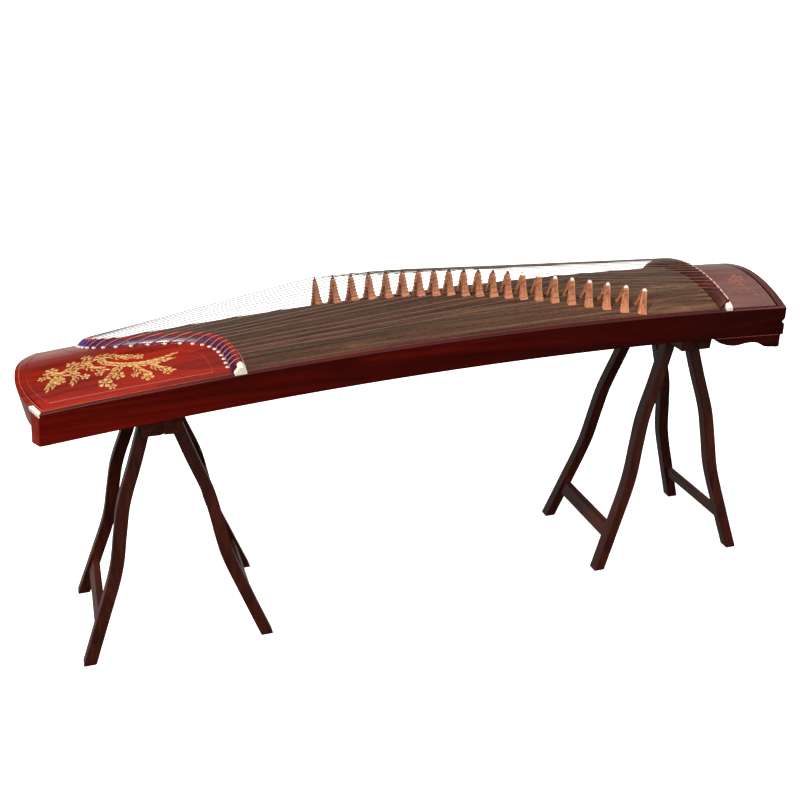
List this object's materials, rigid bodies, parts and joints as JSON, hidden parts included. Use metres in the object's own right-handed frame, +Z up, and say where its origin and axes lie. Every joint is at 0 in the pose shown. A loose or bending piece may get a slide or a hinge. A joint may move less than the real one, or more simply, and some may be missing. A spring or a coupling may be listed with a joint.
{
  "type": "guzheng",
  "caption": "Long arched plucked zither with movable bridges over a soundboard, a curved tail nut and tuning pins under a lid, on two folding trestle stands.",
  "frame": {"origin": "on the floor under the middle of the object's bounding box, feet of both stands at Z = 0", "axes": "+X along the instrument towards the head (tuning end), -Y is the player's side, +Z up"},
  "size_m": [1.6321, 0.318, 0.7281],
  "materials": {
    "rosewood_red": "gloss",
    "rosewood_dark": "gloss",
    "paulownia": "matte",
    "lid_wood": "satin",
    "spruce_inside": "matte",
    "bridge_wood": "satin",
    "stand_wood": "satin",
    "string_steel": "satin",
    "pin_steel": "satin",
    "hinge_brass": "satin",
    "bone": "satin",
    "pale_inlay": "satin",
    "gold_paint": "satin",
    "wrapping_thread": "satin",
    "string_nylon_green": "satin"
  },
  "bodies": {
    "stands": {"tail_stand_frame_left": "stand_wood", "head_stand_frame_left": "stand_wood", "tail_stand_hinge_rod": "hinge_brass", "head_stand_hinge_rod": "hinge_brass"},
    "soundbox": {"side_rail_near": "rosewood_dark", "side_rail_far": "rosewood_dark", "soundboard": "paulownia", "bottom_board": "spruce_inside", "tail_end_board": "rosewood_red", "head_end_board": "rosewood_dark", "tail_deck": "rosewood_red", "tail_nut": "rosewood_red", "head_nut": "rosewood_dark", "pin_block": "spruce_inside", "strings": "string_steel"},
    "lid": {"tuning_box_lid": "lid_wood"},
    "tail_stand_right": {"tail_stand_frame_right": "stand_wood"},
    "head_stand_right": {"head_stand_frame_right": "stand_wood"},
    "bridge_01": {"bridge_01": "bridge_wood"},
    "bridge_02": {"bridge_02": "bridge_wood"},
    "bridge_03": {"bridge_03": "bridge_wood"},
    "bridge_04": {"bridge_04": "bridge_wood"},
    "bridge_05": {"bridge_05": "bridge_wood"},
    "bridge_06": {"bridge_06": "bridge_wood"},
    "bridge_07": {"bridge_07": "bridge_wood"},
    "bridge_08": {"bridge_08": "bridge_wood"},
    "bridge_09": {"bridge_09": "bridge_wood"},
    "bridge_10": {"bridge_10": "bridge_wood"},
    "bridge_11": {"bridge_11": "bridge_wood"},
    "bridge_12": {"bridge_12": "bridge_wood"},
    "bridge_13": {"bridge_13": "bridge_wood"},
    "bridge_14": {"bridge_14": "bridge_wood"},
    "bridge_15": {"bridge_15": "bridge_wood"},
    "bridge_16": {"bridge_16": "bridge_wood"},
    "bridge_17": {"bridge_17": "bridge_wood"},
    "bridge_18": {"bridge_18": "bridge_wood"},
    "bridge_19": {"bridge_19": "bridge_wood"},
    "bridge_20": {"bridge_20": "bridge_wood"},
    "bridge_21": {"bridge_21": "bridge_wood"},
    "tuning_pin_01": {"tuning_pin_01": "pin_steel"},
    "tuning_pin_02": {"tuning_pin_02": "pin_steel"},
    "tuning_pin_03": {"tuning_pin_03": "pin_steel"},
    "tuning_pin_04": {"tuning_pin_04": "pin_steel"},
    "tuning_pin_05": {"tuning_pin_05": "pin_steel"},
    "tuning_pin_06": {"tuning_pin_06": "pin_steel"},
    "tuning_pin_07": {"tuning_pin_07": "pin_steel"},
    "tuning_pin_08": {"tuning_pin_08": "pin_steel"},
    "tuning_pin_09": {"tuning_pin_09": "pin_steel"},
    "tuning_pin_10": {"tuning_pin_10": "pin_steel"},
    "tuning_pin_11": {"tuning_pin_11": "pin_steel"},
    "tuning_pin_12": {"tuning_pin_12": "pin_steel"},
    "tuning_pin_13": {"tuning_pin_13": "pin_steel"},
    "tuning_pin_14": {"tuning_pin_14": "pin_steel"},
    "tuning_pin_15": {"tuning_pin_15": "pin_steel"},
    "tuning_pin_16": {"tuning_pin_16": "pin_steel"},
    "tuning_pin_17": {"tuning_pin_17": "pin_steel"},
    "tuning_pin_18": {"tuning_pin_18": "pin_steel"},
    "tuning_pin_19": {"tuning_pin_19": "pin_steel"},
    "tuning_pin_20": {"tuning_pin_20": "pin_steel"},
    "tuning_pin_21": {"tuning_pin_21": "pin_steel"}
  },
  "joints": [
    {"name": "instrument_lift", "type": "slide", "parent": "stands", "child": "soundbox", "axis": [0, 0, 1], "range_m": [0, 0.1]},
    {"name": "lid_lift", "type": "slide", "parent": "soundbox", "child": "lid", "axis": [-0.0401, 0, 0.9992], "range_m": [0, 0.08]},
    {"name": "tail_stand_fold", "type": "hinge", "parent": "stands", "child": "tail_stand_right", "pos_m": [-0.559, -0.009, 0.49665], "axis": [0, 1, 0], "range_deg": [0, 34]},
    {"name": "head_stand_fold", "type": "hinge", "parent": "stands", "child": "head_stand_right", "pos_m": [0.61, 0.008, 0.54302], "axis": [0, 1, 0], "range_deg": [0, 30]},
    {"name": "bridge_01_slide", "type": "slide", "parent": "soundbox", "child": "bridge_01", "axis": [1, 0, 0.0005], "range_m": [-0.007, 0.007], "deforming": ["strings"]},
    {"name": "bridge_02_slide", "type": "slide", "parent": "soundbox", "child": "bridge_02", "axis": [1, 0, 0.0057], "range_m": [-0.007, 0.007], "deforming": ["strings"]},
    {"name": "bridge_03_slide", "type": "slide", "parent": "soundbox", "child": "bridge_03", "axis": [0.9999, 0, 0.0108], "range_m": [-0.007, 0.007], "deforming": ["strings"]},
    {"name": "bridge_04_slide", "type": "slide", "parent": "soundbox", "child": "bridge_04", "axis": [0.9999, 0, 0.0156], "range_m": [-0.007, 0.007], "deforming": ["strings"]},
    {"name": "bridge_05_slide", "type": "slide", "parent": "soundbox", "child": "bridge_05", "axis": [0.9998, 0, 0.0201], "range_m": [-0.007, 0.007], "deforming": ["strings"]},
    {"name": "bridge_06_slide", "type": "slide", "parent": "soundbox", "child": "bridge_06", "axis": [0.9997, 0, 0.0243], "range_m": [-0.007, 0.007], "deforming": ["strings"]},
    {"name": "bridge_07_slide", "type": "slide", "parent": "soundbox", "child": "bridge_07", "axis": [0.9996, 0, 0.0282], "range_m": [-0.007, 0.007], "deforming": ["strings"]},
    {"name": "bridge_08_slide", "type": "slide", "parent": "soundbox", "child": "bridge_08", "axis": [0.9995, 0, 0.0318], "range_m": [-0.007, 0.007], "deforming": ["strings"]},
    {"name": "bridge_09_slide", "type": "slide", "parent": "soundbox", "child": "bridge_09", "axis": [0.9994, 0, 0.0351], "range_m": [-0.007, 0.007], "deforming": ["strings"]},
    {"name": "bridge_10_slide", "type": "slide", "parent": "soundbox", "child": "bridge_10", "axis": [0.9993, 0, 0.0382], "range_m": [-0.007, 0.007], "deforming": ["strings"]},
    {"name": "bridge_11_slide", "type": "slide", "parent": "soundbox", "child": "bridge_11", "axis": [0.9992, 0, 0.041], "range_m": [-0.007, 0.007], "deforming": ["strings"]},
    {"name": "bridge_12_slide", "type": "slide", "parent": "soundbox", "child": "bridge_12", "axis": [0.999, 0, 0.0437], "range_m": [-0.007, 0.007], "deforming": ["strings"]},
    {"name": "bridge_13_slide", "type": "slide", "parent": "soundbox", "child": "bridge_13", "axis": [0.9989, 0, 0.0463], "range_m": [-0.007, 0.007], "deforming": ["strings"]},
    {"name": "bridge_14_slide", "type": "slide", "parent": "soundbox", "child": "bridge_14", "axis": [0.9988, 0, 0.0487], "range_m": [-0.007, 0.007], "deforming": ["strings"]},
    {"name": "bridge_15_slide", "type": "slide", "parent": "soundbox", "child": "bridge_15", "axis": [0.9987, 0, 0.0511], "range_m": [-0.007, 0.007], "deforming": ["strings"]},
    {"name": "bridge_16_slide", "type": "slide", "parent": "soundbox", "child": "bridge_16", "axis": [0.9986, 0, 0.0535], "range_m": [-0.007, 0.007], "deforming": ["strings"]},
    {"name": "bridge_17_slide", "type": "slide", "parent": "soundbox", "child": "bridge_17", "axis": [0.9984, 0, 0.0558], "range_m": [-0.007, 0.007], "deforming": ["strings"]},
    {"name": "bridge_18_slide", "type": "slide", "parent": "soundbox", "child": "bridge_18", "axis": [0.9983, 0, 0.0581], "range_m": [-0.007, 0.007], "deforming": ["strings"]},
    {"name": "bridge_19_slide", "type": "slide", "parent": "soundbox", "child": "bridge_19", "axis": [0.9982, 0, 0.0604], "range_m": [-0.007, 0.007], "deforming": ["strings"]},
    {"name": "bridge_20_slide", "type": "slide", "parent": "soundbox", "child": "bridge_20", "axis": [0.998, 0, 0.0625], "range_m": [-0.007, 0.007], "deforming": ["strings"]},
    {"name": "bridge_21_slide", "type": "slide", "parent": "soundbox", "child": "bridge_21", "axis": [0.9979, 0, 0.0645], "range_m": [-0.007, 0.007], "deforming": ["strings"]},
    {"name": "tuning_pin_01_turn", "type": "hinge", "parent": "soundbox", "child": "tuning_pin_01", "pos_m": [0.69904, -0.131, 0.61658], "axis": [-0.0401, 0, 0.9992], "continuous": true},
    {"name": "tuning_pin_02_turn", "type": "hinge", "parent": "soundbox", "child": "tuning_pin_02", "pos_m": [0.72486, -0.1179, 0.62162], "axis": [-0.0401, 0, 0.9992], "continuous": true},
    {"name": "tuning_pin_03_turn", "type": "hinge", "parent": "soundbox", "child": "tuning_pin_03", "pos_m": [0.7507, -0.1048, 0.62608], "axis": [-0.0401, 0, 0.9992], "continuous": true},
    {"name": "tuning_pin_04_turn", "type": "hinge", "parent": "soundbox", "child": "tuning_pin_04", "pos_m": [0.69843, -0.0917, 0.63165], "axis": [-0.0401, 0, 0.9992], "continuous": true},
    {"name": "tuning_pin_05_turn", "type": "hinge", "parent": "soundbox", "child": "tuning_pin_05", "pos_m": [0.72432, -0.0786, 0.63501], "axis": [-0.0401, 0, 0.9992], "continuous": true},
    {"name": "tuning_pin_06_turn", "type": "hinge", "parent": "soundbox", "child": "tuning_pin_06", "pos_m": [0.75023, -0.0655, 0.63777], "axis": [-0.0401, 0, 0.9992], "continuous": true},
    {"name": "tuning_pin_07_turn", "type": "hinge", "parent": "soundbox", "child": "tuning_pin_07", "pos_m": [0.69804, -0.0524, 0.6414], "axis": [-0.0401, 0, 0.9992], "continuous": true},
    {"name": "tuning_pin_08_turn", "type": "hinge", "parent": "soundbox", "child": "tuning_pin_08", "pos_m": [0.724, -0.0393, 0.64305], "axis": [-0.0401, 0, 0.9992], "continuous": true},
    {"name": "tuning_pin_09_turn", "type": "hinge", "parent": "soundbox", "child": "tuning_pin_09", "pos_m": [0.74997, -0.0262, 0.64406], "axis": [-0.0401, 0, 0.9992], "continuous": true},
    {"name": "tuning_pin_10_turn", "type": "hinge", "parent": "soundbox", "child": "tuning_pin_10", "pos_m": [0.69786, -0.0131, 0.64583], "axis": [-0.0401, 0, 0.9992], "continuous": true},
    {"name": "tuning_pin_11_turn", "type": "hinge", "parent": "soundbox", "child": "tuning_pin_11", "pos_m": [0.72389, 0, 0.64573], "axis": [-0.0401, 0, 0.9992], "continuous": true},
    {"name": "tuning_pin_12_turn", "type": "hinge", "parent": "soundbox", "child": "tuning_pin_12", "pos_m": [0.74994, 0.0131, 0.64497], "axis": [-0.0401, 0, 0.9992], "continuous": true},
    {"name": "tuning_pin_13_turn", "type": "hinge", "parent": "soundbox", "child": "tuning_pin_13", "pos_m": [0.6979, 0.0262, 0.64494], "axis": [-0.0401, 0, 0.9992], "continuous": true},
    {"name": "tuning_pin_14_turn", "type": "hinge", "parent": "soundbox", "child": "tuning_pin_14", "pos_m": [0.724, 0.0393, 0.64305], "axis": [-0.0401, 0, 0.9992], "continuous": true},
    {"name": "tuning_pin_15_turn", "type": "hinge", "parent": "soundbox", "child": "tuning_pin_15", "pos_m": [0.75012, 0.0524, 0.64047], "axis": [-0.0401, 0, 0.9992], "continuous": true},
    {"name": "tuning_pin_16_turn", "type": "hinge", "parent": "soundbox", "child": "tuning_pin_16", "pos_m": [0.69815, 0.0655, 0.63874], "axis": [-0.0401, 0, 0.9992], "continuous": true},
    {"name": "tuning_pin_17_turn", "type": "hinge", "parent": "soundbox", "child": "tuning_pin_17", "pos_m": [0.72432, 0.0786, 0.63501], "axis": [-0.0401, 0, 0.9992], "continuous": true},
    {"name": "tuning_pin_18_turn", "type": "hinge", "parent": "soundbox", "child": "tuning_pin_18", "pos_m": [0.75052, 0.0917, 0.63057], "axis": [-0.0401, 0, 0.9992], "continuous": true},
    {"name": "tuning_pin_19_turn", "type": "hinge", "parent": "soundbox", "child": "tuning_pin_19", "pos_m": [0.69861, 0.1048, 0.62722], "axis": [-0.0401, 0, 0.9992], "continuous": true},
    {"name": "tuning_pin_20_turn", "type": "hinge", "parent": "soundbox", "child": "tuning_pin_20", "pos_m": [0.72486, 0.1179, 0.62162], "axis": [-0.0401, 0, 0.9992], "continuous": true},
    {"name": "tuning_pin_21_turn", "type": "hinge", "parent": "soundbox", "child": "tuning_pin_21", "pos_m": [0.75113, 0.131, 0.61528], "axis": [-0.0401, 0, 0.9992], "continuous": true}
  ]
}
